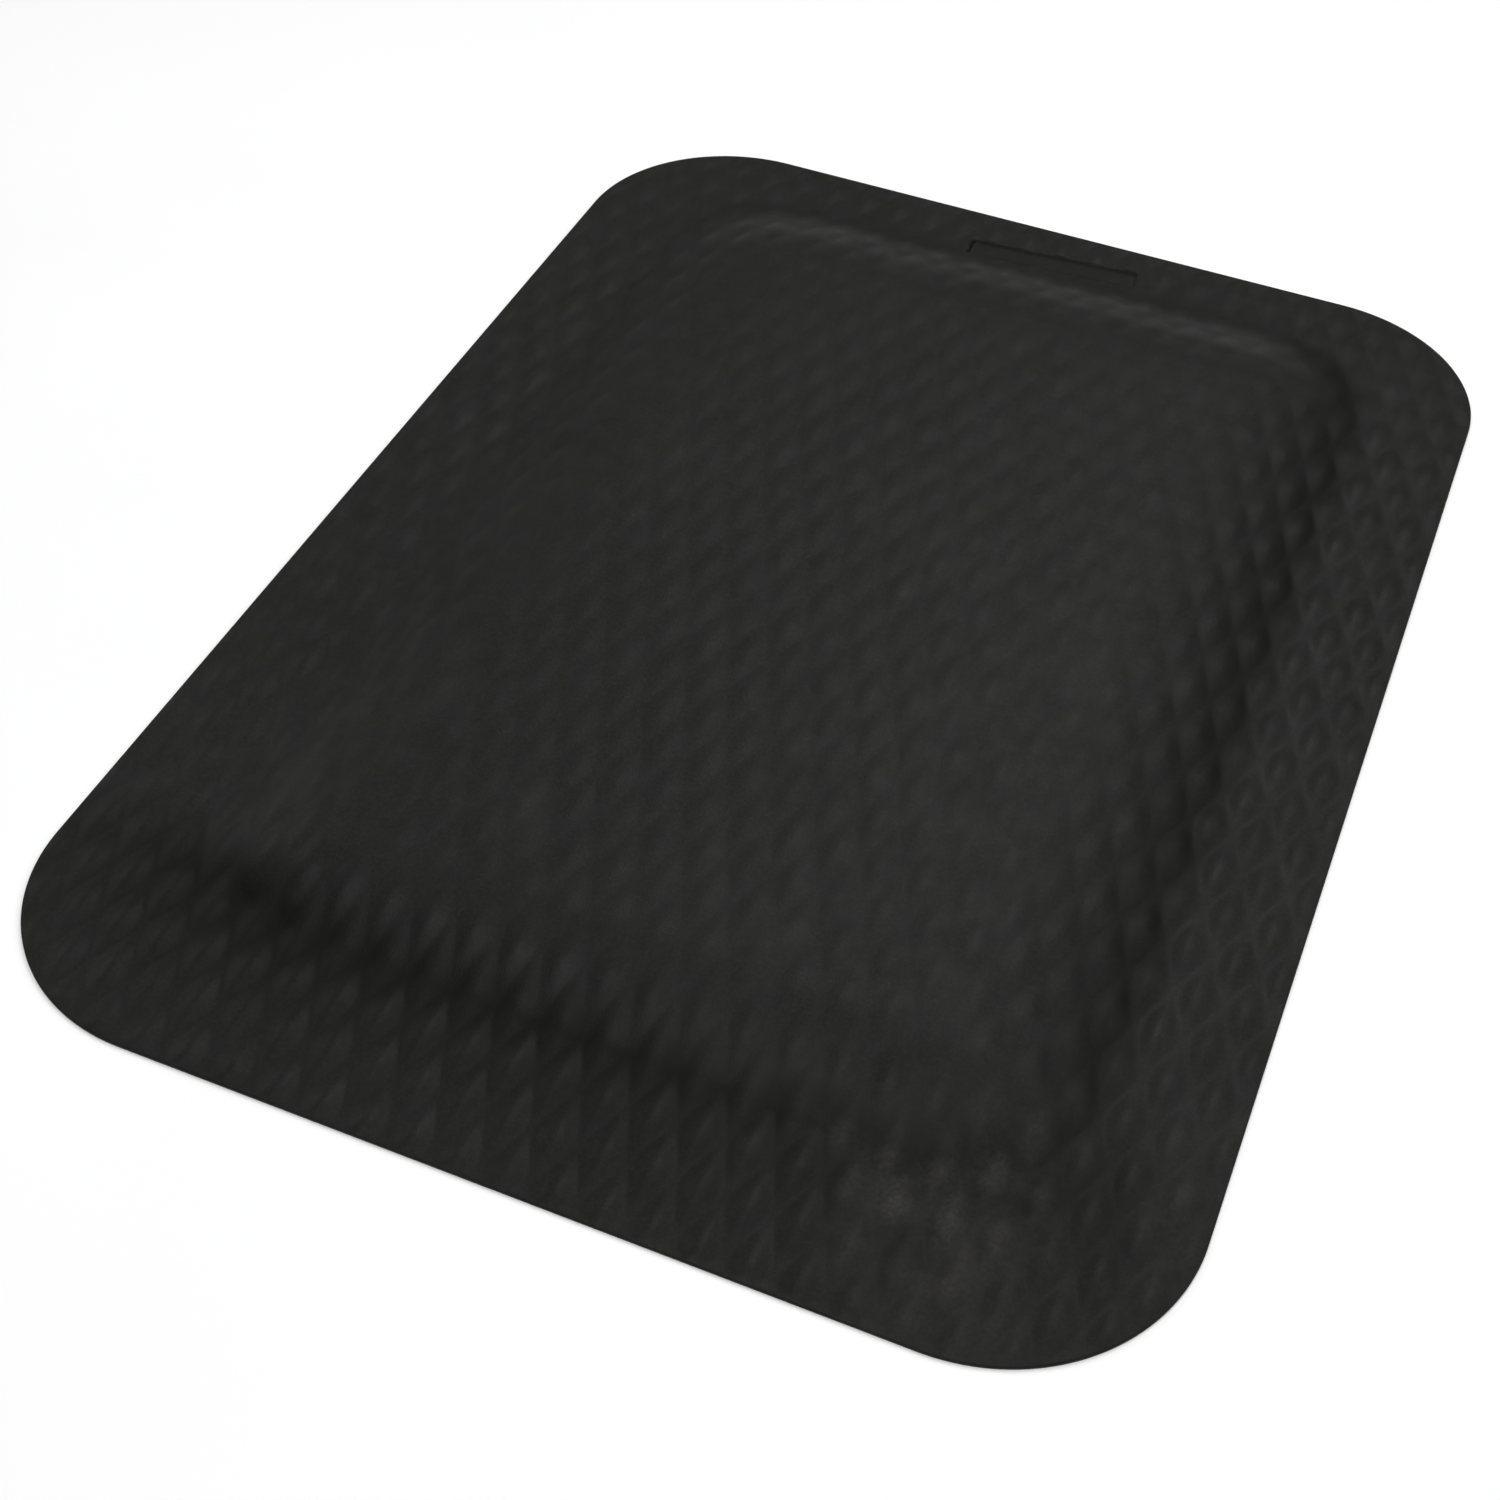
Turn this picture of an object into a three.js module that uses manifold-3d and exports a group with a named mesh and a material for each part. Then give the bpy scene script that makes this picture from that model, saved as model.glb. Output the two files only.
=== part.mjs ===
// Anti-fatigue floor mat, laminated from three pieces of rubber:
//   surface_sheet   moulded top sheet with a low domed middle and a thin border all round
//   cushion_core    closed-cell foam slab that fills the dome
//   backing_sheet   thin sheet that closes the dome from below
// Millimetres, +Z up, +Y towards the edge with the label recess, +X to the right.
// The origin is on the floor, under the middle of the mat.

import * as THREE from "three";
import * as BufferGeometryUtils from "three/addons/utils/BufferGeometryUtils.js";
import Module from "manifold-3d";

// Driving dimensions
const MAT_WIDTH = 559;
const MAT_LENGTH = 787;
const MAT_THICKNESS = 22;
const MAT_CORNER_RADIUS = 95;

const BORDER_EDGE_THICKNESS = 2; // at the outer edge of the mat
const BORDER_FOOT_THICKNESS = 3; // at the foot of the dome
const BORDER = { left: 66, right: 67, front: 87, back: 55 }; // outer edge to foot of the dome
const SHOULDER = { left: 80, right: 80, front: 54, back: 80 }; // foot of the dome to its flat top
const DOME_CORNER_POWER = 2.4; // 2 would be elliptical corners, more is squarer

const SHEET_THICKNESS = 3;
const BACKING_THICKNESS = 1;
const BOND_GAP = 0.3; // clearance between neighbouring pieces
const CORE_EDGE_HEIGHT = 1.2; // thickness of the foam slab at its rim

const LABEL = { width: 105, depth: 16, recess: 0.9, turn: 4.4 }; // turn in degrees
const LABEL_CENTRE = { x: 8, fromBackEdge: 36 };

// Mesh density
const CORNER_STEPS = 12; // steps round each corner
const SHOULDER_STEPS = 9; // steps up the side of the dome
const FLAT_TOP_SPREAD = 0.1; // where the flat top starts, as a share of the shoulder
const WELD_DISTANCE = 1e-4; // vertices closer than this are joined

const wasm = await Module();
wasm.setup();

// Rise of the full parabola, whose last sliver the flat top cuts off
const DOME_RISE = (MAT_THICKNESS - BORDER_FOOT_THICKNESS) / (1 - FLAT_TOP_SPREAD ** 2);

// The flat-topped middle of the dome: the rectangle that the shoulders start from
const PLATEAU = {
  left: -MAT_WIDTH / 2 + BORDER.left + SHOULDER.left,
  right: MAT_WIDTH / 2 - BORDER.right - SHOULDER.right,
  front: -MAT_LENGTH / 2 + BORDER.front + SHOULDER.front,
  back: MAT_LENGTH / 2 - BORDER.back - SHOULDER.back,
};

// Height of the sheet's upper face, where spread is 0 at the flat top and 1 at the dome's foot
function domeHeight(spread) {
  return BORDER_FOOT_THICKNESS + DOME_RISE * (1 - spread * spread);
}

// The spread at which the dome's upper face has a given height
function spreadAtHeight(height) {
  return Math.sqrt(1 - (height - BORDER_FOOT_THICKNESS) / DOME_RISE);
}

// Walks the four corners anticlockwise from the right-hand front one. place(signX, signY, angle)
// gives the point at one angle, 0 to 90 degrees, of a corner in the first quadrant's sense.
function aroundCorners(place) {
  const corners = [
    [1, -1],
    [1, 1],
    [-1, 1],
    [-1, -1],
  ];
  const points = [];
  for (const [signX, signY] of corners) {
    for (let step = 0; step <= CORNER_STEPS; step += 1) {
      const share = step / CORNER_STEPS;
      const turnsFromY = signX * signY < 0;
      const angle = (Math.PI / 2) * (turnsFromY ? 1 - share : share);
      points.push(place(signX, signY, angle));
    }
  }
  return points;
}

// Rounded rectangle of the whole mat
function outlineRing(z) {
  const straightX = MAT_WIDTH / 2 - MAT_CORNER_RADIUS;
  const straightY = MAT_LENGTH / 2 - MAT_CORNER_RADIUS;
  return aroundCorners(
    (signX, signY, angle) =>
      new THREE.Vector3(
        signX * (straightX + MAT_CORNER_RADIUS * Math.cos(angle)),
        signY * (straightY + MAT_CORNER_RADIUS * Math.sin(angle)),
        z,
      ),
  );
}

// Contour of the dome at one spread: the plateau grown by a share of each shoulder, with
// superellipse corners. inset moves it in by a fixed distance on every side.
function domeRing(spread, z, inset = 0) {
  return aroundCorners((signX, signY, angle) => {
    const acrossX = Math.cos(angle) ** (2 / DOME_CORNER_POWER);
    const acrossY = Math.sin(angle) ** (2 / DOME_CORNER_POWER);
    const cornerX = signX > 0 ? PLATEAU.right : PLATEAU.left;
    const cornerY = signY > 0 ? PLATEAU.back : PLATEAU.front;
    const shoulderX = signX > 0 ? SHOULDER.right : SHOULDER.left;
    const shoulderY = signY > 0 ? SHOULDER.back : SHOULDER.front;
    return new THREE.Vector3(
      cornerX + signX * (shoulderX * spread - inset) * acrossX,
      cornerY + signY * (shoulderY * spread - inset) * acrossY,
      z,
    );
  });
}

// Stack of dome contours from spread first to spread last, at the dome's height less drop
function domeRings(first, last, drop, inset = 0) {
  const rings = [];
  for (let step = 0; step <= SHOULDER_STEPS; step += 1) {
    const spread = first + ((last - first) * step) / SHOULDER_STEPS;
    rings.push(domeRing(spread, domeHeight(spread) - drop, inset));
  }
  return rings;
}

// Closed solid through a stack of rings with equal point counts, closed by a flat cap at each
// end. The rings run anticlockwise seen from above, in order along the skin of the solid from
// its lower cap to its upper one.
function loftedGeometry(rings) {
  const count = rings[0].length;
  const positions = rings.flat().flatMap((point) => [point.x, point.y, point.z]);
  const index = [];
  for (let ring = 0; ring < rings.length - 1; ring += 1) {
    for (let i = 0; i < count; i += 1) {
      const low = ring * count + i;
      const lowNext = ring * count + ((i + 1) % count);
      const high = low + count;
      const highNext = lowNext + count;
      index.push(low, lowNext, highNext, low, highNext, high);
    }
  }
  const capAt = (ring, upward) => {
    const outline = rings[ring].map((point) => new THREE.Vector2(point.x, point.y));
    for (const [a, b, c] of THREE.ShapeUtils.triangulateShape(outline, [])) {
      const corners = upward ? [a, b, c] : [a, c, b];
      index.push(...corners.map((corner) => ring * count + corner));
    }
  };
  capAt(0, false);
  capAt(rings.length - 1, true);
  const geometry = new THREE.BufferGeometry();
  geometry.setAttribute("position", new THREE.Float32BufferAttribute(positions, 3));
  geometry.setIndex(index);
  return geometry;
}

// Manifold solid from a closed geometry
function toSolid(geometry) {
  const bare = geometry.clone();
  bare.deleteAttribute("normal");
  bare.deleteAttribute("uv");
  const merged = BufferGeometryUtils.mergeVertices(bare, WELD_DISTANCE);
  return new wasm.Manifold(
    new wasm.Mesh({
      numProp: 3,
      vertProperties: new Float32Array(merged.attributes.position.array),
      triVerts: new Uint32Array(merged.index.array),
    }),
  );
}

// Geometry from a manifold solid
function toGeometry(solid) {
  const mesh = solid.getMesh();
  const geometry = new THREE.BufferGeometry();
  geometry.setAttribute("position", new THREE.BufferAttribute(mesh.vertProperties, mesh.numProp));
  geometry.setIndex(new THREE.BufferAttribute(mesh.triVerts, 1));
  geometry.computeVertexNormals();
  return geometry;
}

// The dome's cavity starts where it is just high enough for the backing and the core's rim
const CAVITY_WALL_HEIGHT = BACKING_THICKNESS + BOND_GAP + CORE_EDGE_HEIGHT + BOND_GAP;
const CAVITY_SPREAD = spreadAtHeight(CAVITY_WALL_HEIGHT + SHEET_THICKNESS);

function surfaceSheetGeometry() {
  const ceiling = domeRings(FLAT_TOP_SPREAD, CAVITY_SPREAD, SHEET_THICKNESS);
  const upperFace = domeRings(1, FLAT_TOP_SPREAD, 0);
  const sheet = toSolid(
    loftedGeometry([
      ...ceiling,
      domeRing(CAVITY_SPREAD, 0),
      outlineRing(0),
      outlineRing(BORDER_EDGE_THICKNESS),
      ...upperFace,
    ]),
  );
  return toGeometry(sheet.subtract(labelRecess()));
}

// Block that leaves the blank label recess in the border behind the dome
function labelRecess() {
  const block = new THREE.BoxGeometry(LABEL.width, LABEL.depth, MAT_THICKNESS);
  const y = MAT_LENGTH / 2 - LABEL_CENTRE.fromBackEdge;
  block.rotateZ(THREE.MathUtils.degToRad(LABEL.turn));
  block.translate(LABEL_CENTRE.x, y, labelFloorHeight() + MAT_THICKNESS / 2);
  return toSolid(block);
}

// The recess floor is flat, so it is set from the border's height at the middle of the label
function labelFloorHeight() {
  const share = LABEL_CENTRE.fromBackEdge / BORDER.back;
  const face = THREE.MathUtils.lerp(BORDER_EDGE_THICKNESS, BORDER_FOOT_THICKNESS, share);
  return face - LABEL.recess;
}

function cushionCoreGeometry() {
  const bottom = BACKING_THICKNESS + BOND_GAP;
  const body = domeRings(CAVITY_SPREAD, FLAT_TOP_SPREAD, SHEET_THICKNESS + BOND_GAP, BOND_GAP);
  return loftedGeometry([domeRing(CAVITY_SPREAD, bottom, BOND_GAP), ...body]);
}

function backingSheetGeometry() {
  return loftedGeometry([
    domeRing(CAVITY_SPREAD, 0, BOND_GAP),
    domeRing(CAVITY_SPREAD, BACKING_THICKNESS, BOND_GAP),
  ]);
}

const mouldedRubber = new THREE.MeshStandardMaterial({
  color: 0x2a2b29,
  roughness: 0.55,
  metalness: 0,
});
const closedCellFoam = new THREE.MeshStandardMaterial({
  color: 0x1d1d1e,
  roughness: 0.9,
  metalness: 0,
});
const backingRubber = new THREE.MeshStandardMaterial({
  color: 0x232323,
  roughness: 0.75,
  metalness: 0,
});

function piece(name, geometry, material) {
  const mesh = new THREE.Mesh(geometry, material);
  mesh.name = name;
  return mesh;
}

const mat = new THREE.Group();
mat.name = "anti_fatigue_mat";
mat.add(piece("surface_sheet", surfaceSheetGeometry(), mouldedRubber));
mat.add(piece("cushion_core", cushionCoreGeometry(), closedCellFoam));
mat.add(piece("backing_sheet", backingSheetGeometry(), backingRubber));

export default mat;
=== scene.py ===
import math

import bpy
import numpy as np
from mathutils import Matrix, Vector, geometry


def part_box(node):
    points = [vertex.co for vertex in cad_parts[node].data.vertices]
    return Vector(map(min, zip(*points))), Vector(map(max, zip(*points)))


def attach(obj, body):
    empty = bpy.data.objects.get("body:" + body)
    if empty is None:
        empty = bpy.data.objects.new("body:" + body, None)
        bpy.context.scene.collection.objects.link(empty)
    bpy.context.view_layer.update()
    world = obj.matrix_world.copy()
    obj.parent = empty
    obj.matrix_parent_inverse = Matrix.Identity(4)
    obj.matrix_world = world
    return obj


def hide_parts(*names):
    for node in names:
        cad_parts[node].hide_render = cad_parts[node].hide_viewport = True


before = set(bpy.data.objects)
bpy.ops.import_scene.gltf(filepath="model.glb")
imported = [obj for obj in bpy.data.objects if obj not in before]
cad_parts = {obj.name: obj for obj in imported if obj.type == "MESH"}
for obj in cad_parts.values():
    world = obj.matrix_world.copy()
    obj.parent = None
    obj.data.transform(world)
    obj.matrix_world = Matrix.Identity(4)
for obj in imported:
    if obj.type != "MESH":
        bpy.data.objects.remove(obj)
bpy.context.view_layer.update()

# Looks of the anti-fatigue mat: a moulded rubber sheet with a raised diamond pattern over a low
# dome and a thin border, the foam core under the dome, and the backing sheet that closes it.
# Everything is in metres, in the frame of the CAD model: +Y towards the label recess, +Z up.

MM = 0.001

sheet_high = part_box("surface_sheet")[1]
core_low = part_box("cushion_core")[0]
backing_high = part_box("backing_sheet")[1]

# ---------------------------------------------------------------------------
# Shape of the mat
# ---------------------------------------------------------------------------

HALF_WIDTH = sheet_high.x
HALF_LENGTH = sheet_high.y
CORNER_RADIUS = 95 * MM
CORNER_STEPS = 48
OUTLINE_SPACING = 2.4 * MM

EDGE_THICKNESS = 2 * MM  # of the border, at the mat's outer edge
FOOT_THICKNESS = 3 * MM  # of the border, at the foot of the dome
SHEET_THICKNESS = 3 * MM
BORDER_TAPER = 50 * MM  # width over which the border thins towards its edge
BORDER = {"left": 66 * MM, "right": 67 * MM, "front": 87 * MM, "back": 55 * MM}
SHOULDER = {"left": 80 * MM, "right": 80 * MM, "front": 54 * MM, "back": 80 * MM}
DOME_CORNER_POWER = 2.4  # of the dome's superellipse corners
DOME_CORNER_STEPS = 40
DOME_RISE = sheet_high.z - FOOT_THICKNESS
FARTHEST_SPREAD = 3  # the dome's height is followed no further down than here
FOOT_FILLET = 4.5 * MM  # softness of the crease between dome and border, in front
FAR_FOOT_FILLET = 7 * MM  # the same at the sides and at the back
SHOULDER_RAMP = 0.8  # part of a shoulder over which the properties of its side come in

PLATEAU = {
    "left": -HALF_WIDTH + BORDER["left"] + SHOULDER["left"],
    "right": HALF_WIDTH - BORDER["right"] - SHOULDER["right"],
    "front": -HALF_LENGTH + BORDER["front"] + SHOULDER["front"],
    "back": HALF_LENGTH - BORDER["back"] - SHOULDER["back"],
}

# Raised diamonds, longer along the mat than across it
DIAMOND_WIDTH = 22.1 * MM
DIAMOND_LENGTH = 52.5 * MM
DIAMOND_PHASE = (-0.12, 0.2)  # of the two sets of valleys, in diamonds
DIAMOND_HEIGHT = 2.2 * MM
DIAMOND_MEAN = 0.3  # mean of the diamond's profile, so the pattern keeps the sheet's mean height
VALLEY_SOFTNESS = 0.5  # rounding of the valleys' floors, as a share of a diamond
WORN_SHARE = 0.3  # height left in the diamonds on the dome's top, where they look worn
CREASE_SHARE = 0.35  # height left in them at the front and back creases
FAINT_SHARE = 0.72  # height left in them towards the back and the left
WORN_SPREAD = (0.1, 0.9)  # from the worn height to the full one, by the dome's spread
CREASE_PLACE = 0.9  # spread where the creases lower the diamonds most
CREASE_WIDTH = 0.3  # spread over which that falls off
FAINT_LEFT = (-0.12, -0.24)  # x over which the diamonds grow faint towards the left
FAINT_BACK = (0.2, 0.34)  # y over which they grow faint towards the back
FAINT_START = (-0.34, -0.2)  # y over which the faint part begins, near the front
CELL_HASH = (12.9898, 78.233, 43758.5453)  # factors of each diamond's pseudo-random number
LOWEST_CELL = 0.88  # the diamonds' uneven heights start here, as a share of the usual one
CELL_RANGE = 0.24  # and end this much higher
CELL_STEPS = (0, 0.045, 0.12, 0.22, 0.35, 0.5, 0.65, 0.78, 0.88, 0.955)
PATTERN_WANDER = 0.6 * MM  # how far the pattern strays from an exact lattice
UNEVEN_HEIGHT = 0.15 * MM  # slow hills and hollows of the whole sheet
TOP_INSET = 0.9 * MM  # where the upper face ends and the rounded rim begins
RIM_FADE = 3.5 * MM  # width over which the diamonds fade out at the mat's edge

# Blank label recess in the border behind the dome
LABEL_CENTRE = (8 * MM, HALF_LENGTH - 36 * MM)
LABEL_HALF = (52.5 * MM, 8 * MM)
LABEL_CORNER = 1 * MM
LABEL_CORNER_STEPS = 3
LABEL_SPACING = 2 * MM  # of the points along its outline
LABEL_TURN = math.radians(4.4)
LABEL_DEPTH = 0.9 * MM  # in the middle of the recess
LABEL_TILT = 0.08  # slope of the recess's floor, which is deepest along its back wall
LABEL_DRAFT = 0.3 * MM  # how far the recess's walls lean in towards its floor
LABEL_FADE = 2.5 * MM  # width over which the diamonds fade out round the recess


def smoothstep(low, high, x):
    t = np.clip((x - low) / (high - low), 0, 1)
    return t * t * (3 - 2 * t)


def smooth_max(a, b, width):
    share = np.clip(0.5 + 0.5 * (a - b) / width, 0, 1)
    return b + (a - b) * share + width * share * (1 - share)


def rounded_box_distance(x, y, half_x, half_y, radius):
    """Distance to a rounded rectangle about the origin, negative inside."""
    over_x = np.abs(x) - (half_x - radius)
    over_y = np.abs(y) - (half_y - radius)
    outside = np.hypot(np.maximum(over_x, 0), np.maximum(over_y, 0))
    return outside + np.minimum(np.maximum(over_x, over_y), 0) - radius


def edge_distance(x, y):
    """Distance inwards from the mat's outline."""
    return -rounded_box_distance(x, y, HALF_WIDTH, HALF_LENGTH, CORNER_RADIUS)


def label_frame(x, y):
    """Place across and along the label recess, from its middle."""
    dx, dy = x - LABEL_CENTRE[0], y - LABEL_CENTRE[1]
    cos, sin = math.cos(LABEL_TURN), math.sin(LABEL_TURN)
    return dx * cos + dy * sin, dy * cos - dx * sin


def label_distance(x, y):
    """Distance to the label recess, negative inside it."""
    return rounded_box_distance(*label_frame(x, y), *LABEL_HALF, LABEL_CORNER)


def dome_spread(x, y):
    """0 on the dome's flat top, 1 at its foot."""
    right = (x - PLATEAU["right"]) / SHOULDER["right"]
    left = (PLATEAU["left"] - x) / SHOULDER["left"]
    back = (y - PLATEAU["back"]) / SHOULDER["back"]
    front = (PLATEAU["front"] - y) / SHOULDER["front"]
    across = np.maximum(np.maximum(right, left), 0)
    along = np.maximum(np.maximum(back, front), 0)
    power = DOME_CORNER_POWER
    return (across**power + along**power) ** (1 / power)


class Waves:
    """An uneven field between about -1 and 1: long sine waves in random directions."""

    def __init__(self, seed, shortest, longest, count=9):
        random = np.random.default_rng(seed)
        direction = random.uniform(0, 2 * math.pi, count)
        length = np.exp(random.uniform(math.log(shortest), math.log(longest), count))
        self.kx = 2 * math.pi * np.cos(direction) / length
        self.ky = 2 * math.pi * np.sin(direction) / length
        self.phase = random.uniform(0, 2 * math.pi, count)

    def at(self, x, y):
        waves = zip(self.kx, self.ky, self.phase)
        total = sum(np.sin(kx * x + ky * y + phase) for kx, ky, phase in waves)
        return total / math.sqrt(len(self.phase))


wander_x = Waves(11, 90 * MM, 400 * MM)
wander_y = Waves(12, 90 * MM, 400 * MM)
uneven = Waves(13, 60 * MM, 350 * MM)


def wander(points):
    """How far each point of the pattern's exact lattice strays, as an array like points."""
    x, y = points.T
    return PATTERN_WANDER * np.stack([wander_x.at(x, y), wander_y.at(x, y)], 1)


def frontness(y):
    """1 at the front foot of the dome and beyond it, 0 behind the front shoulder."""
    return smoothstep(0, SHOULDER_RAMP, (PLATEAU["front"] - y) / SHOULDER["front"])


def backness(y):
    """1 at the back foot of the dome and beyond it, 0 in front of the back shoulder."""
    return smoothstep(0, SHOULDER_RAMP, (y - PLATEAU["back"]) / SHOULDER["back"])


def smooth_height(x, y):
    """Height of the sheet's upper face without its diamonds."""
    spread = np.minimum(dome_spread(x, y), FARTHEST_SPREAD)
    dome = FOOT_THICKNESS + DOME_RISE * (1 - spread**2)
    taper = np.clip(edge_distance(x, y) / BORDER_TAPER, 0, 1)
    border = EDGE_THICKNESS + (FOOT_THICKNESS - EDGE_THICKNESS) * taper
    fade = smoothstep(0, BORDER_TAPER, edge_distance(x, y))
    fillet = FAR_FOOT_FILLET + (FOOT_FILLET - FAR_FOOT_FILLET) * frontness(y)
    return smooth_max(dome, border, fillet) + UNEVEN_HEIGHT * uneven.at(x, y) * fade


def cell_variation(s, t):
    """Height of the diamond that holds lattice coordinates s, t, as a share of the usual one."""
    seed = np.sin(np.floor(s) * CELL_HASH[0] + np.floor(t) * CELL_HASH[1]) * CELL_HASH[2]
    return LOWEST_CELL + CELL_RANGE * (seed - np.floor(seed))


def diamond_relief(s, t):
    """Relief of the diamonds at lattice coordinates s, t: 0 in the valleys, about 1 on top."""
    highest = math.hypot(1, VALLEY_SOFTNESS) - VALLEY_SOFTNESS
    rise_s = (np.hypot(np.sin(np.pi * s), VALLEY_SOFTNESS) - VALLEY_SOFTNESS) / highest
    rise_t = (np.hypot(np.sin(np.pi * t), VALLEY_SOFTNESS) - VALLEY_SOFTNESS) / highest
    return rise_s * rise_t * cell_variation(s, t)


def relief_share(x, y):
    """How much of their full height the diamonds have: less on the worn top of the dome, over
    the creases and towards the back left, and none at the edge and round the label."""
    spread = dome_spread(x, y)
    worn = 1 - (1 - WORN_SHARE) * (1 - smoothstep(*WORN_SPREAD, spread))
    at_crease = np.exp(-(((spread - CREASE_PLACE) / CREASE_WIDTH) ** 2))
    at_crease = at_crease * np.maximum(frontness(y), backness(y))
    worn *= 1 - (1 - CREASE_SHARE) * at_crease
    faint = np.maximum(smoothstep(*FAINT_LEFT, x), smoothstep(*FAINT_BACK, y))
    worn *= 1 - (1 - FAINT_SHARE) * faint * smoothstep(*FAINT_START, y)
    at_edge = smoothstep(TOP_INSET, TOP_INSET + RIM_FADE, edge_distance(x, y))
    return worn * at_edge * smoothstep(0, LABEL_FADE, label_distance(x, y))


def to_lattice(points):
    x, y = points.T
    s = x / DIAMOND_WIDTH + y / DIAMOND_LENGTH + DIAMOND_PHASE[0]
    t = x / DIAMOND_WIDTH - y / DIAMOND_LENGTH + DIAMOND_PHASE[1]
    return s, t


def from_lattice(s, t):
    s, t = s - DIAMOND_PHASE[0], t - DIAMOND_PHASE[1]
    return (s + t) * DIAMOND_WIDTH / 2, (s - t) * DIAMOND_LENGTH / 2


# ---------------------------------------------------------------------------
# Mesh helpers
# ---------------------------------------------------------------------------


def rounded_rectangle(half_x, half_y, radius, corner_steps, spacing):
    """Points round a rounded rectangle about the origin, anticlockwise. The straight sides and
    the number of points stay the same when all three sizes shrink together."""
    arcs = []
    for turn, (sign_x, sign_y) in enumerate(((1, -1), (1, 1), (-1, 1), (-1, -1))):
        angle = math.pi / 2 * (turn - 1 + np.arange(corner_steps + 1) / corner_steps)
        x = sign_x * (half_x - radius) + radius * np.cos(angle)
        y = sign_y * (half_y - radius) + radius * np.sin(angle)
        arcs.append(np.stack([x, y], 1))
    loop = []
    for arc, following in zip(arcs, arcs[1:] + arcs[:1]):
        start, end = arc[-1], following[0]
        steps = max(1, round(np.linalg.norm(end - start) / spacing))
        shares = np.arange(1, steps)[:, None] / steps
        loop += [arc, start + (end - start) * shares]
    return np.concatenate(loop)


def mat_outline(inset):
    half_x, half_y, radius = HALF_WIDTH - inset, HALF_LENGTH - inset, CORNER_RADIUS - inset
    return rounded_rectangle(half_x, half_y, radius, CORNER_STEPS, OUTLINE_SPACING)


def label_outline(inset):
    half_x, half_y, radius = LABEL_HALF[0] - inset, LABEL_HALF[1] - inset, LABEL_CORNER - inset
    loop = rounded_rectangle(half_x, half_y, radius, LABEL_CORNER_STEPS, LABEL_SPACING)
    cos, sin = math.cos(LABEL_TURN), math.sin(LABEL_TURN)
    return loop @ np.array([[cos, sin], [-sin, cos]]) + LABEL_CENTRE


def dome_outline(spread, inset):
    """Contour of the dome at one spread, moved in by inset, anticlockwise."""
    loop = []
    for sign_x, sign_y in ((1, -1), (1, 1), (-1, 1), (-1, -1)):
        share = np.arange(DOME_CORNER_STEPS + 1) / DOME_CORNER_STEPS
        angle = np.pi / 2 * (1 - share if sign_x * sign_y < 0 else share)
        side_x = "right" if sign_x > 0 else "left"
        side_y = "back" if sign_y > 0 else "front"
        reach_x = np.abs(np.cos(angle)) ** (2 / DOME_CORNER_POWER)
        reach_y = np.abs(np.sin(angle)) ** (2 / DOME_CORNER_POWER)
        x = PLATEAU[side_x] + sign_x * (SHOULDER[side_x] * spread - inset) * reach_x
        y = PLATEAU[side_y] + sign_y * (SHOULDER[side_y] * spread - inset) * reach_y
        loop.append(np.stack([x, y], 1))
    return np.concatenate(loop)


def loop_edges(first, count):
    return [(first + k, first + (k + 1) % count) for k in range(count)]


TRIANGLES_INSIDE = 1  # the kind of output that leaves out what is outside the loops
WELD_DISTANCE = 1e-9


def triangulate(points, edges):
    """Triangles over the points inside the outermost loop of edges, anticlockwise."""
    vectors = [Vector(point) for point in points]
    result = geometry.delaunay_2d_cdt(vectors, edges, [], TRIANGLES_INSIDE, WELD_DISTANCE)
    origin = [o[0] for o in result[3]]
    return np.array([[origin[k] for k in triangle] for triangle in result[2]])


def strips(rings):
    """Quads between successive rings of vertex numbers, all of one length."""
    quads = []
    for low, high in zip(rings, rings[1:]):
        quads.append(np.stack([low, np.roll(low, -1), np.roll(high, -1), high], 1))
    return np.concatenate(quads)


def grid_points(half_x, half_y, spacing):
    x = np.arange(-half_x, half_x, spacing)
    y = np.arange(-half_y, half_y, spacing)
    return np.stack(np.meshgrid(x, y), -1).reshape(-1, 2)


def height_field(loops, inner, height):
    """Vertices and triangles over the outermost of some closed loops. inner are loose points
    between them, and height gives z from an array of points."""
    edges = []
    first = 0
    for loop in loops:
        edges += loop_edges(first, len(loop))
        first += len(loop)
    points = np.concatenate([*loops, inner])
    return np.column_stack([points, height(points)]), triangulate(points, edges)


def mesh_piece(name, vertices, face_arrays):
    mesh = bpy.data.meshes.new(name)
    faces = [tuple(face) for array in face_arrays for face in array.tolist()]
    mesh.from_pydata(vertices.tolist(), [], faces)
    mesh.polygons.foreach_set("use_smooth", [True] * len(mesh.polygons))
    mesh.update()
    piece = bpy.data.objects.new(name, mesh)
    bpy.context.scene.collection.objects.link(piece)
    return piece


# ---------------------------------------------------------------------------
# Moulded sheet
# ---------------------------------------------------------------------------

GRID_CLEARANCE = 0.6 * MM  # between the diamonds' grid and the outlines that cut it
CAVITY_DRAFT = 0.3 * MM
CAVITY_GRID = 9 * MM  # spacing of the points in the cavity's ceiling
CAVITY_GRID_MARGIN = 0.03  # between them and the cavity's wall, in spread

# The rounded rim from the upper face outwards: inset from the outline, drop below the face
RIM_PROFILE = ((0.35 * MM, 0.12 * MM), (0.05 * MM, 0.5 * MM), (0, 1.0 * MM))
LOWER_CHAMFER = 0.3 * MM  # of the sheet's lower edge, inwards and upwards


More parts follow.
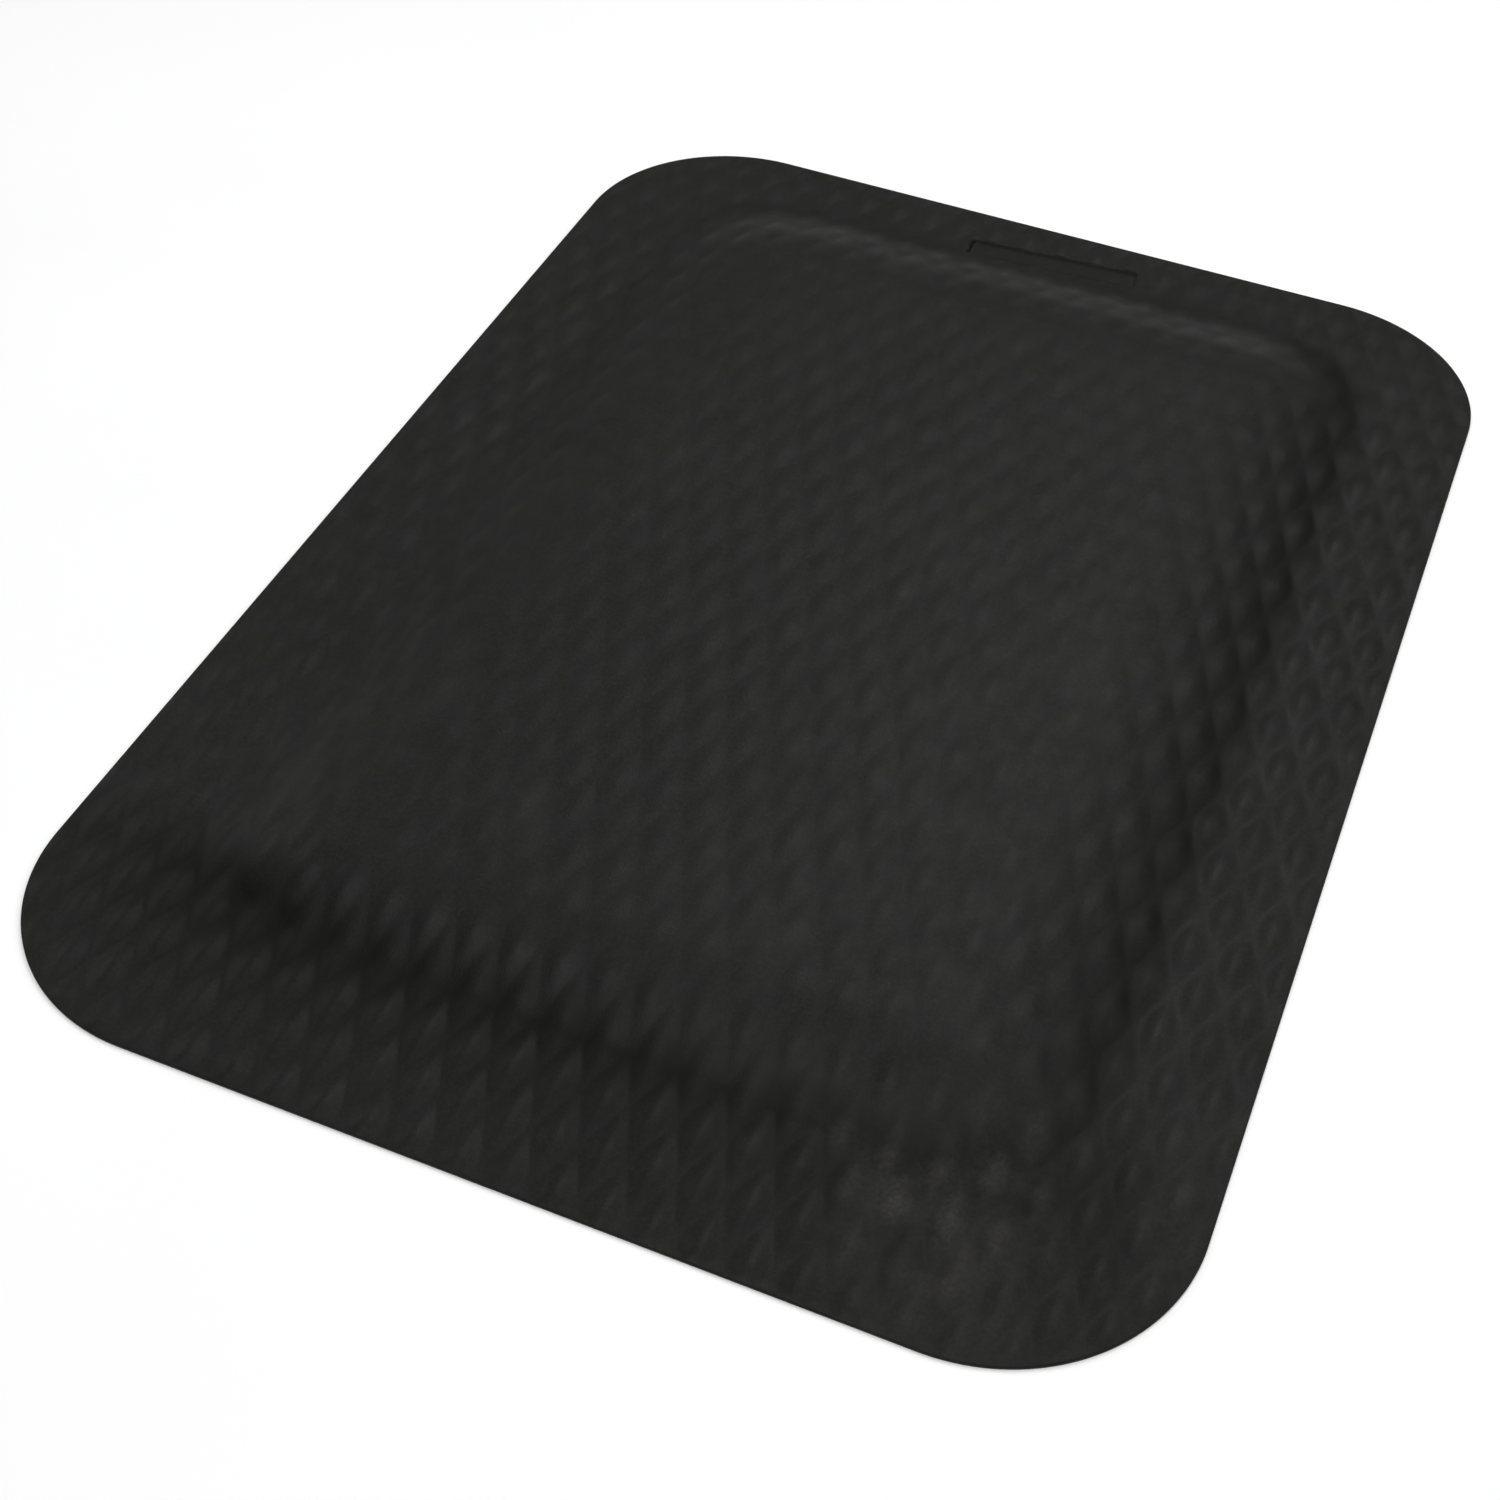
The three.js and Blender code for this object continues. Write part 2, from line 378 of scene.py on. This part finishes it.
def diamond_grid():
    """Vertices of the diamonds' grid that clear the outlines, its quads, and its border edges.

    The grid lines run along the valleys, so every valley is a line of mesh edges."""
    reach = math.ceil(HALF_WIDTH / DIAMOND_WIDTH + HALF_LENGTH / DIAMOND_LENGTH + 1)
    cells = np.arange(-reach, reach + 1)
    lines = (cells[:, None] + np.array(CELL_STEPS)).ravel()
    s, t = np.meshgrid(lines, lines, indexing="ij")
    flat = np.stack(from_lattice(s, t), -1)
    placed = (flat.reshape(-1, 2) + wander(flat.reshape(-1, 2))).reshape(flat.shape)
    x, y = placed[..., 0], placed[..., 1]
    clear = edge_distance(x, y) > TOP_INSET + GRID_CLEARANCE
    clear &= label_distance(x, y) > 2 * GRID_CLEARANCE

    whole = clear[:-1, :-1] & clear[1:, :-1] & clear[1:, 1:] & clear[:-1, 1:]
    used = np.zeros_like(clear)
    rows, columns = whole.shape
    for i in (0, 1):
        for j in (0, 1):
            used[i : i + rows, j : j + columns] |= whole
    number = np.full(clear.shape, -1)
    number[used] = np.arange(used.sum())
    i, j = np.nonzero(whole)
    quads = np.stack(
        [number[i, j], number[i, j + 1], number[i + 1, j + 1], number[i + 1, j]], 1
    )
    sides = np.sort(np.concatenate([quads[:, [k, (k + 1) % 4]] for k in range(4)]), 1)
    sides, uses = np.unique(sides, axis=0, return_counts=True)
    return {
        "s": s[used],
        "t": t[used],
        "flat": flat[used],
        "placed": placed[used],
        "quads": quads,
        "border": sides[uses == 1],
        "lines": lines,
        "whole": whole,
    }


def upper_face():
    """Vertices, quads, triangles and relief of the upper face, and its outer ring's numbers."""
    grid = diamond_grid()
    loops = [mat_outline(TOP_INSET)]
    loops += [label_outline(inset) for inset in (0, LABEL_DRAFT, 3 * LABEL_DRAFT)]

    # The strip between the grid and the loops is filled in the lattice's exact, flat space
    rim = np.unique(grid["border"])
    renumber = {vertex: k for k, vertex in enumerate(rim)}
    edges = [(renumber[a], renumber[b]) for a, b in grid["border"]]
    loop_points = np.concatenate(loops)
    loop_flat = loop_points - wander(loop_points)
    first = len(rim)
    for loop in loops:
        edges += loop_edges(first, len(loop))
        first += len(loop)
    flat = np.concatenate([grid["flat"][rim], loop_flat])
    triangles = triangulate(flat, edges)
    s, t = to_lattice(flat[triangles].mean(1))
    column = np.searchsorted(grid["lines"], s, side="right") - 1
    row = np.searchsorted(grid["lines"], t, side="right") - 1
    triangles = triangles[~grid["whole"][column, row]]
    base = len(grid["s"])
    triangles = np.concatenate([rim, base + np.arange(len(loop_points))])[triangles]

    loop_s, loop_t = to_lattice(loop_flat)
    x, y = np.concatenate([grid["placed"], loop_points]).T
    s, t = np.concatenate([grid["s"], loop_s]), np.concatenate([grid["t"], loop_t])
    relief = diamond_relief(s, t)
    z = smooth_height(x, y) + DIAMOND_HEIGHT * relief_share(x, y) * (relief - DIAMOND_MEAN)
    in_recess = label_distance(x, y) < -LABEL_DRAFT / 2
    floor = smooth_height(*LABEL_CENTRE) - LABEL_DEPTH - LABEL_TILT * label_frame(x, y)[1]
    z[in_recess] = floor[in_recess]
    outer_ring = base + np.arange(len(loops[0]))
    return np.column_stack([x, y, z]), grid["quads"], triangles, relief, outer_ring


# Place in metres, size and strength of each smear
DUST_SMEARS = (
    ((0.122, -0.312), (16 * MM, 9 * MM), 0.4),
    ((0.150, -0.325), (14 * MM, 20 * MM), 1.0),
    ((0.140, -0.352), (8 * MM, 22 * MM), 0.6),
    ((0.178, -0.345), (7 * MM, 25 * MM), 0.5),
    ((0.060, -0.235), (18 * MM, 10 * MM), 0.45),
    ((-0.075, -0.215), (12 * MM, 16 * MM), 0.4),
    ((-0.150, -0.150), (8 * MM, 30 * MM), 0.35),
    ((-0.190, -0.230), (7 * MM, 26 * MM), 0.4),
    ((0.100, -0.130), (30 * MM, 9 * MM), 0.3),
    ((0.090, -0.305), (40 * MM, 40 * MM), 0.2),
    ((0.190, -0.335), (32 * MM, 75 * MM), 0.75),
    ((0.262, -0.290), (14 * MM, 45 * MM), 0.7),
)
DUST_IN_VALLEYS = 0.7  # how strongly the smears show in the valleys
DUST_ON_TOPS = 1.7  # and on top of the diamonds

# The cavity's wall stands as high as the core's rim and the gap above it
CAVITY_WALL = 1.5 * MM  # from the core's underside up
CAVITY_RIM = core_low.z + CAVITY_WALL
CAVITY_SPREAD = math.sqrt(1 - (CAVITY_RIM + SHEET_THICKNESS - FOOT_THICKNESS) / DOME_RISE)


def cavity_ceiling(x, y):
    spread = dome_spread(x, y)
    return FOOT_THICKNESS - SHEET_THICKNESS + DOME_RISE * (1 - spread**2)


def lower_face():
    """Underside of the sheet: the border's flat face and the cavity under the dome."""
    loops = [
        mat_outline(LOWER_CHAMFER),
        dome_outline(CAVITY_SPREAD, 0),
        dome_outline(CAVITY_SPREAD, CAVITY_DRAFT),
    ]
    inner = grid_points(HALF_WIDTH, HALF_LENGTH, CAVITY_GRID)
    inner = inner[dome_spread(*inner.T) < CAVITY_SPREAD - CAVITY_GRID_MARGIN]

    def height(points):
        inside = np.arange(len(points)) >= len(loops[0]) + len(loops[1])
        return np.where(inside, cavity_ceiling(*points.T), 0)

    return height_field(loops, inner, height), len(loops[0])


def moulded_sheet():
    top, quads, triangles, relief, ring = upper_face()
    (bottom, bottom_triangles), count = lower_face()
    rim_top = top[ring, 2]
    rim = [(inset, rim_top - drop) for inset, drop in RIM_PROFILE]
    rim.append((0, np.full(count, LOWER_CHAMFER)))
    vertices = [top]
    rings = [ring]
    total = len(top)
    for inset, z in rim:
        vertices.append(np.column_stack([mat_outline(inset), z]))
        rings.append(total + np.arange(count))
        total += count
    rings.append(total + np.arange(count))
    vertices = np.concatenate([*vertices, bottom])
    sides = strips(rings)[:, ::-1]
    faces = [quads, triangles, sides, total + bottom_triangles[:, ::-1]]
    piece = mesh_piece("moulded_sheet", vertices, faces)
    relief = np.concatenate([relief, np.zeros(len(vertices) - len(top))])
    add_attribute(piece, "relief", relief)
    add_attribute(piece, "crease", painted_crease_shade(*vertices[:, :2].T, relief))
    add_attribute(piece, "dust", dust_smears(*vertices[:, :2].T, relief))
    return piece


# Painted shade along the crease at the dome's foot: how far it reaches and how strong it is, by
# the dome's spread
BORDER_REACH = 0.7
DOME_REACH = 0.17
SHADE_ROUNDING = 0.08  # of its peak at the foot of the dome
SHADE_END = (1.0, 1.25)  # where it ends on the right and at the back
RIGHT_SHADE = 0.8  # strength on the right, where the front's is 1
BACK_SHADE = 0.2
VALLEY_SHADE = 1.15  # strength in the valleys
TOP_SHADE_LOSS = 0.5  # how much weaker it is on top of the diamonds


def painted_crease_shade(x, y, relief):
    """Painted shade: how much the rubber's colour is darkened along the crease at the foot of
    the dome. It falls off slowly over the border and quickly up the dome, and is strongest in
    front and in the valleys."""
    spread = dome_spread(x, y)
    reach = np.where(spread > 1, BORDER_REACH, DOME_REACH)
    falloff = np.exp(-(np.hypot(spread - 1, SHADE_ROUNDING) - SHADE_ROUNDING) / reach)
    on_dome = 1 - smoothstep(*SHADE_END, spread)
    on_right = smoothstep(0, SHOULDER_RAMP, (x - PLATEAU["right"]) / SHOULDER["right"])
    other_sides = on_dome * np.maximum(RIGHT_SHADE * on_right, BACK_SHADE * backness(y))
    shade = falloff * np.maximum(frontness(y), other_sides)
    shade *= VALLEY_SHADE - TOP_SHADE_LOSS * relief

    # Painted shade: the walls of the label recess at its back and on its left are made as dark
    label_x, label_y = label_frame(x, y)
    near = 2 * LABEL_DRAFT
    at_wall = (label_y > LABEL_HALF[1] - near) | (label_x < near - LABEL_HALF[0])
    return np.where(at_wall & (np.abs(label_distance(x, y)) < near), 1, shade)


def dust_smears(x, y, relief):
    """Strength of the pale dust: smears on the front right part of the border and, faintly, on
    the front of the dome. More of it is on the diamonds than between them."""
    total = np.zeros(len(x))
    for (place_x, place_y), (size_x, size_y), strength in DUST_SMEARS:
        reach = ((x - place_x) / size_x) ** 2 + ((y - place_y) / size_y) ** 2
        total += strength * np.exp(-reach)
    return total * (DUST_IN_VALLEYS + (DUST_ON_TOPS - DUST_IN_VALLEYS) * relief)


def add_attribute(piece, name, values):
    attribute = piece.data.attributes.new(name, "FLOAT", "POINT")
    attribute.data.foreach_set("value", values.astype(np.float32))


# ---------------------------------------------------------------------------
# Foam core and backing sheet
# ---------------------------------------------------------------------------

BOND_GAP = 0.3 * MM
SLAB_GRID_MARGIN = 0.05  # between a slab's loose points and its rim, in spread
FOAM_GRID = 5 * MM
FOAM_ROUNDING = 0.3 * MM
FOAM_CLEARANCE = 0.1 * MM  # room for its lumps
FOAM_LUMP = 0.06 * MM
BACKING_GRID = 12 * MM
BACKING_ROUNDING = 0.25 * MM

foam_lumps = Waves(21, 12 * MM, 60 * MM, 24)


def slab(name, spacing, upper, lower, rounding):
    """Closed slab with a rounded rim that fills the cavity from side to side."""
    inner = grid_points(HALF_WIDTH, HALF_LENGTH, spacing)
    inner = inner[dome_spread(*inner.T) < CAVITY_SPREAD - SLAB_GRID_MARGIN]
    rim = dome_outline(CAVITY_SPREAD, BOND_GAP + rounding)
    top, triangles = height_field([rim], inner, upper)
    flat = np.concatenate([rim, inner])
    bottom = np.column_stack([flat, lower(flat)])
    middle = dome_outline(CAVITY_SPREAD, BOND_GAP)
    ring = np.arange(len(middle))
    high = np.column_stack([middle, top[ring, 2] - rounding])
    low = np.column_stack([middle, bottom[ring, 2] + rounding])
    vertices = np.concatenate([top, high, low, bottom])
    first_bottom = len(top) + 2 * len(ring)
    rings = [ring, len(top) + ring, len(top) + len(ring) + ring, first_bottom + ring]
    faces = [triangles, strips(rings)[:, ::-1], first_bottom + triangles[:, ::-1]]
    return mesh_piece(name, vertices, faces)


def foam_core():
    def upper(points):
        lumps = FOAM_LUMP * foam_lumps.at(*points.T)
        return cavity_ceiling(*points.T) - BOND_GAP - FOAM_CLEARANCE + lumps

    def lower(points):
        return core_low.z + FOAM_CLEARANCE + FOAM_LUMP * foam_lumps.at(*points.T)

    return slab("foam_core", FOAM_GRID, upper, lower, FOAM_ROUNDING)


def backing():
    def upper(points):
        return np.full(len(points), backing_high.z)

    def lower(points):
        return np.zeros(len(points))

    return slab("backing", BACKING_GRID, upper, lower, BACKING_ROUNDING)


# ---------------------------------------------------------------------------
# Materials
# ---------------------------------------------------------------------------


class Nodes:
    """A material's node tree, with short ways to add what the rubbers need."""

    def __init__(self, name):
        self.material = bpy.data.materials.new(name)
        self.material.use_nodes = True
        self.tree = self.material.node_tree
        self.shader = self.tree.nodes["Principled BSDF"]
        self.place = self.tree.nodes.new("ShaderNodeTexCoord").outputs["Object"]

    def link(self, source, socket):
        self.tree.links.new(source, socket)

    def add(self, kind, inputs, **settings):
        node = self.tree.nodes.new(kind)
        for key, value in settings.items():
            setattr(node, key, value)
        for key, value in inputs.items():
            if isinstance(value, bpy.types.NodeSocket):
                self.link(value, node.inputs[key])
            else:
                node.inputs[key].default_value = value
        return node

    def noise(self, size, detail=4.0, roughness=0.55, distortion=0.0):
        """Noise between 0 and 1 whose features are about size metres across."""
        inputs = {
            "Vector": self.place,
            "Scale": 1 / size,
            "Detail": detail,
            "Roughness": roughness,
            "Distortion": distortion,
        }
        return self.add("ShaderNodeTexNoise", inputs).outputs["Fac"]

    def grains(self, size):
        inputs = {"Vector": self.place, "Scale": 1 / size}
        return self.add("ShaderNodeTexVoronoi", inputs).outputs["Distance"]

    def attribute(self, name):
        return self.add("ShaderNodeAttribute", {}, attribute_name=name).outputs["Fac"]

    def spread(self, value, low, high, to_low=0.0, to_high=1.0):
        """Maps low..high to to_low..to_high, smoothly and clamped."""
        inputs = {
            "Value": value,
            "From Min": low,
            "From Max": high,
            "To Min": to_low,
            "To Max": to_high,
        }
        node = self.add("ShaderNodeMapRange", inputs, interpolation_type="SMOOTHSTEP")
        return node.outputs["Result"]

    def math(self, operation, a, b):
        return self.add("ShaderNodeMath", {0: a, 1: b}, operation=operation).outputs[0]

    def mix(self, factor, first, second):
        """Blend of two colours. The numbers are a colour mix's factor, two inputs and result."""
        inputs = {0: factor, 6: first, 7: second}
        return self.add("ShaderNodeMix", inputs, data_type="RGBA").outputs[2]

    def bump(self, height, strength, distance, normal=None):
        inputs = {"Height": height, "Strength": strength, "Distance": distance}
        if normal is not None:
            inputs["Normal"] = normal
        return self.add("ShaderNodeBump", inputs).outputs["Normal"]


def grey(level, tint=(1.0, 1.0, 1.0)):
    return (level * tint[0], level * tint[1], level * tint[2], 1.0)


GREENISH = (0.97, 1.1, 0.74)
COOL = (0.98, 1.0, 1.02)
VIOLET = (1.07, 0.97, 1.08)
DUSTY = (1.0, 0.97, 0.88)

RUBBER_DARK = grey(0.0072, GREENISH)
RUBBER_PALE = grey(0.0092, GREENISH)
RUBBER_VIOLET = grey(0.009, VIOLET)
RUBBER_CLOUD = grey(0.0135, COOL)
RUBBER_GRIT = grey(0.017, COOL)
# Colour of the painted shade in the crease at the dome's foot and on the label recess's back and
# left walls
CREASE_SHADE_COLOUR = grey(0.002, GREENISH)
DUST_COLOUR = grey(0.05, DUSTY)
CLOUD_SHARE = 0.4  # how much the cloudy patches change the rubber's colour
DUST_SHARE = 0.6  # how much full dust does
DUST_ROUGHNESS = 0.3  # how much rougher it makes the rubber
RUBBED_SMOOTHNESS = 0.05  # how much smoother the tops of the diamonds are

FOAM_DARK = grey(0.016)
FOAM_PALE = grey(0.026)
FOAM_PIT_SHADE = grey(0.006)
BACKING_DARK = grey(0.016)
BACKING_PALE = grey(0.024, DUSTY)
WEAVE_SCALE = 160.0  # of the backing's cloth imprint
FLOOR_DARK = grey(0.9)
FLOOR_PALE = grey(0.92)


def sheet_rubber():
    nodes = Nodes("surface_rubber")
    relief = nodes.attribute("relief")

    noise = nodes.noise(70 * MM, detail=6.0, roughness=0.6)
    colour = nodes.mix(nodes.spread(noise, 0.35, 0.65), RUBBER_DARK, RUBBER_PALE)
    noise = nodes.noise(20 * MM, detail=6.0, roughness=0.7)
    colour = nodes.mix(nodes.spread(noise, 0.4, 0.62, to_high=0.8), colour, RUBBER_VIOLET)
    noise = nodes.noise(16 * MM, detail=5.0, roughness=0.65, distortion=0.6)
    cloud = nodes.spread(noise, 0.42, 0.75)
    colour = nodes.mix(nodes.math("MULTIPLY", cloud, CLOUD_SHARE), colour, RUBBER_CLOUD)
    noise = nodes.noise(1.6 * MM, detail=3.0, roughness=0.75)
    colour = nodes.mix(nodes.spread(noise, 0.4, 0.68, to_high=0.5), colour, RUBBER_GRIT)
    # Painted shade: darker colour in the crease at the dome's foot, in the valleys near it and
    # on the label recess's back and left walls
    colour = nodes.mix(nodes.attribute("crease"), colour, CREASE_SHADE_COLOUR)

    # Pale dust: faint patches everywhere, and the smears, both broken up into specks
    noise = nodes.noise(2.2 * MM, detail=3.0, roughness=0.7)
    speckle = nodes.spread(noise, 0.3, 0.7, to_low=0.45)
    noise = nodes.noise(95 * MM, detail=3.0, roughness=0.6, distortion=0.8)
    patch = nodes.spread(noise, 0.56, 0.76, to_high=0.12)
    noise = nodes.noise(18 * MM, detail=4.0, roughness=0.55, distortion=0.3)
    streaks = nodes.spread(noise, 0.3, 0.7, to_low=0.25)
    smears = nodes.math("MULTIPLY", nodes.attribute("dust"), streaks)
    dust = nodes.math("MULTIPLY", nodes.math("ADD", patch, smears), speckle)
    colour = nodes.mix(nodes.math("MULTIPLY", dust, DUST_SHARE), colour, DUST_COLOUR)

    # Tops are rubbed a little smoother than the valleys
    rubbed = nodes.math("MULTIPLY", nodes.spread(relief, 0.5, 1.0), RUBBED_SMOOTHNESS)
    noise = nodes.noise(25 * MM, detail=5.0, roughness=0.6)
    roughness = nodes.spread(noise, 0.3, 0.7, to_low=0.4, to_high=0.5)
    roughness = nodes.math("SUBTRACT", roughness, rubbed)
    dulled = nodes.math("MULTIPLY", dust, DUST_ROUGHNESS)
    roughness = nodes.math("ADD", roughness, dulled)

    grain = nodes.bump(nodes.grains(0.9 * MM), strength=0.55, distance=0.1 * MM)
    noise = nodes.noise(4 * MM, detail=4.0, roughness=0.6)
    grain = nodes.bump(noise, strength=0.25, distance=0.2 * MM, normal=grain)

    nodes.link(colour, nodes.shader.inputs["Base Color"])
    nodes.link(roughness, nodes.shader.inputs["Roughness"])
    nodes.link(grain, nodes.shader.inputs["Normal"])
    nodes.shader.inputs["Specular IOR Level"].default_value = 0.1
    return nodes.material


def foam_rubber():
    nodes = Nodes("closed_cell_foam")
    cells = nodes.grains(0.8 * MM)
    noise = nodes.noise(30 * MM, detail=5.0)
    colour = nodes.mix(nodes.spread(noise, 0.3, 0.7), FOAM_DARK, FOAM_PALE)
    # Painted shade: the cell pits that the bump makes hollow are darkened
    pit_shade = nodes.spread(cells, 0.0, 0.35, to_low=0.5, to_high=0.0)
    colour = nodes.mix(pit_shade, colour, FOAM_PIT_SHADE)
    nodes.link(colour, nodes.shader.inputs["Base Color"])
    bumps = nodes.bump(cells, strength=0.5, distance=0.3 * MM)
    nodes.link(bumps, nodes.shader.inputs["Normal"])
    nodes.shader.inputs["Roughness"].default_value = 0.92
    nodes.shader.inputs["Specular IOR Level"].default_value = 0.2
    return nodes.material


def backing_rubber():
    nodes = Nodes("backing_rubber")
    inputs = {"Vector": nodes.place, "Scale": WEAVE_SCALE}
    weave = nodes.add("ShaderNodeTexWave", inputs).outputs["Fac"]
    cross = nodes.add("ShaderNodeTexWave", inputs, bands_direction="Y").outputs["Fac"]
    noise = nodes.noise(50 * MM, detail=6.0)
    colour = nodes.mix(nodes.spread(noise, 0.3, 0.7), BACKING_DARK, BACKING_PALE)
    nodes.link(colour, nodes.shader.inputs["Base Color"])
    roughness = nodes.spread(nodes.noise(12 * MM), 0.3, 0.7, to_low=0.62, to_high=0.78)
    nodes.link(roughness, nodes.shader.inputs["Roughness"])
    cloth = nodes.bump(nodes.math("MAXIMUM", weave, cross), strength=0.35, distance=0.2 * MM)
    nodes.link(cloth, nodes.shader.inputs["Normal"])
    nodes.shader.inputs["Specular IOR Level"].default_value = 0.3
    return nodes.material


def floor_paint():
    nodes = Nodes("floor_paint")
    tone = nodes.spread(nodes.noise(0.4, detail=3.0), 0.3, 0.7)
    nodes.link(nodes.mix(tone, FLOOR_DARK, FLOOR_PALE), nodes.shader.inputs["Base Color"])
    nodes.shader.inputs["Roughness"].default_value = 0.8
    nodes.shader.inputs["Specular IOR Level"].default_value = 0.2
    return nodes.material


# ---------------------------------------------------------------------------
# Assembly
# ---------------------------------------------------------------------------


def fit_piece(piece, node, material):
    piece.data.materials.append(material)
    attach(piece, "root")
    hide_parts(node)


sheet = moulded_sheet()
fit_piece(sheet, "surface_sheet", sheet_rubber())
core = foam_core()
fit_piece(core, "cushion_core", foam_rubber())
fit_piece(backing(), "backing_sheet", backing_rubber())

# ---------------------------------------------------------------------------
# Floor, light and camera
# ---------------------------------------------------------------------------

FLOOR_HALF = 12.0
FLOOR_GAP = 0.05 * MM  # below the mat, so that no two faces coincide

# Fitted to the mat's outline in the photograph
CAMERA_PLACE = Vector((0.277, -0.872, 0.828))
CAMERA_AIM = Vector((-0.003, -0.112, 0.0))
CAMERA_ROLL = math.radians(3.07)
CAMERA_LENS = 56.1

WORLD_LEVEL = 0.18
LAMP_DISTANCE = 2.5

# Name, azimuth and elevation in degrees, side in metres, power in watts
SOFTBOXES = (
    ("top", 0, 88, 2.0, 10.5),
    ("key", -6, 45, 0.8, 4.5),
    ("high", -3, 58, 0.8, 9),
    ("back_right", 25, 42, 0.8, 4.5),
    ("back_left", -34, 32, 0.8, 1.5),
    ("left", -75, 35, 1.5, 10.5),
    ("right", 75, 40, 1.5, 18),
    ("front", 180, 60, 1.5, 27),
)


def add_floor():
    corners = [(-1, -1), (1, -1), (1, 1), (-1, 1)]
    vertices = np.array([(x * FLOOR_HALF, y * FLOOR_HALF, 0) for x, y in corners])
    floor = mesh_piece("floor", vertices, [np.array([[0, 1, 2, 3]])])
    floor.data.materials.append(floor_paint())
    floor.location.z = -FLOOR_GAP


def aim(thing, target, roll=0.0):
    """Turns a lamp or camera to face the target, rolled about its own axis."""
    direction = target - thing.location
    turn = direction.to_track_quat("-Z", "Y").to_matrix() @ Matrix.Rotation(roll, 3, "Z")
    thing.rotation_euler = turn.to_euler()


def add_softbox(name, azimuth, elevation, size, power):
    """Square lamp that faces the mat. Its azimuth runs from +Y towards +X, in degrees."""
    light = bpy.data.lights.new(name, "AREA")
    light.shape = "SQUARE"
    light.size = size
    light.energy = power
    lamp = bpy.data.objects.new(name, light)
    bpy.context.scene.collection.objects.link(lamp)
    turn, lift = math.radians(azimuth), math.radians(elevation)
    level = LAMP_DISTANCE * math.cos(lift)
    height = LAMP_DISTANCE * math.sin(lift)
    lamp.location = (level * math.sin(turn), level * math.cos(turn), height)
    aim(lamp, Vector((0, 0, 0)))


def add_camera():
    data = bpy.data.cameras.new("camera")
    data.lens = CAMERA_LENS
    camera = bpy.data.objects.new("camera", data)
    bpy.context.scene.collection.objects.link(camera)
    camera.location = CAMERA_PLACE
    aim(camera, CAMERA_AIM, CAMERA_ROLL)
    bpy.context.scene.camera = camera


def set_world(level):
    world = bpy.data.worlds.new("studio")
    world.use_nodes = True
    background = world.node_tree.nodes["Background"]
    background.inputs["Color"].default_value = (1.0, 1.0, 1.0, 1.0)
    background.inputs["Strength"].default_value = level
    bpy.context.scene.world = world


add_floor()
set_world(WORLD_LEVEL)
for softbox in SOFTBOXES:
    add_softbox(*softbox)
add_camera()
bpy.context.scene.view_settings.view_transform = "Standard"
